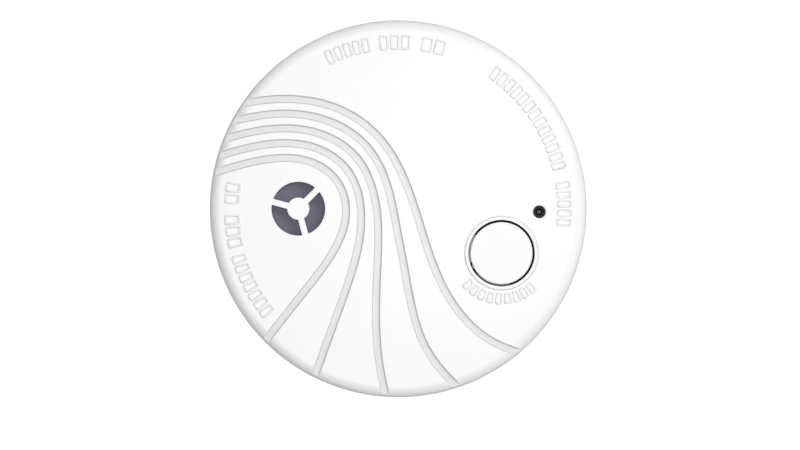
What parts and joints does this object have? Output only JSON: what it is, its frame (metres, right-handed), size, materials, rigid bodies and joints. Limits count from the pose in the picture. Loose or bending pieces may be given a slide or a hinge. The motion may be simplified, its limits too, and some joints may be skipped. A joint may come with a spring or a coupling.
{
  "type": "smoke detector",
  "caption": "Round white ceiling smoke detector with a domed, wave-grooved face, sounder port, push test button and a twist-on mounting plate.",
  "frame": {"origin": "centre of the mounting plate's back face", "axes": "+Z out of the ceiling or wall through the detector's face, +X from the sounder port towards the test button, +Y completes the frame"},
  "size_m": [0.107, 0.107, 0.0361],
  "materials": {
    "white_plastic": "fine moulded texture",
    "black_plastic": "fine moulded texture",
    "sounder_plastic": "smooth",
    "switch_plastic": "smooth",
    "circuit_board": "solder mask",
    "led_lens": "translucent, polished",
    "plated_steel": "nickel plated",
    "screen_steel": "fine woven mesh",
    "capacitor_can": "drawn can",
    "brass": "rolled",
    "ceramic": "silvered ceramic",
    "foam_rubber": "closed-cell foam",
    "battery_sleeve": "shrink sleeve",
    "label_film": "silver film"
  },
  "bodies": {
    "plate": {"mounting_plate": "white_plastic"},
    "head": {"antenna_coil": "brass", "battery": "battery_sleeve", "battery_contact_negative": "plated_steel", "battery_contact_positive": "plated_steel", "battery_spring": "plated_steel", "board_screws": "plated_steel", "button_board": "circuit_board", "button_board_screws": "plated_steel", "button_switch_body": "black_plastic", "capacitors": "capacitor_can", "chamber_base": "black_plastic", "chamber_cap": "black_plastic", "drive_transformer": "black_plastic", "front_cover": "white_plastic", "housing_screws": "plated_steel", "infrared_emitter": "led_lens", "insect_screen": "screen_steel", "led_spacer": "black_plastic", "link_header": "black_plastic", "link_pins": "plated_steel", "main_board": "circuit_board", "microcontroller": "black_plastic", "photodiode": "led_lens", "radio_module": "plated_steel", "rating_label": "label_film", "rear_housing": "white_plastic", "small_components": "black_plastic", "sounder_base": "sounder_plastic", "sounder_ceramic": "ceramic", "sounder_contacts": "brass", "sounder_disc": "brass", "sounder_horn": "sounder_plastic", "sounder_seal": "foam_rubber", "status_led": "led_lens", "tamper_switch": "black_plastic"},
    "button": {"test_button": "white_plastic"},
    "switch_plunger": {"button_switch_actuator": "switch_plastic"},
    "tamper_pin": {"tamper_plunger": "switch_plastic"}
  },
  "joints": [
    {"name": "head_twist", "type": "hinge", "parent": "plate", "child": "head", "pos_m": [0, 0, 0], "axis": [0, 0, 1], "range_deg": [0, 20]},
    {"name": "button_press", "type": "slide", "parent": "head", "child": "button", "axis": [0, 0, -1], "range_m": [0, 0.0005], "stiffness_N_per_m": 800, "springref_m": -0.0005},
    {"name": "switch_press", "type": "slide", "parent": "head", "child": "switch_plunger", "axis": [0, 0, -1], "range_m": [0, 0.0005]},
    {"name": "tamper_drop", "type": "slide", "parent": "head", "child": "tamper_pin", "axis": [0, 0, -1], "range_m": [0, 0.0005]}
  ],
  "couplings": [
    {"joint": "switch_press", "follows": "button_press", "ratio": 1},
    {"joint": "tamper_drop", "follows": "head_twist", "m_per_rad": 0.0014324}
  ]
}
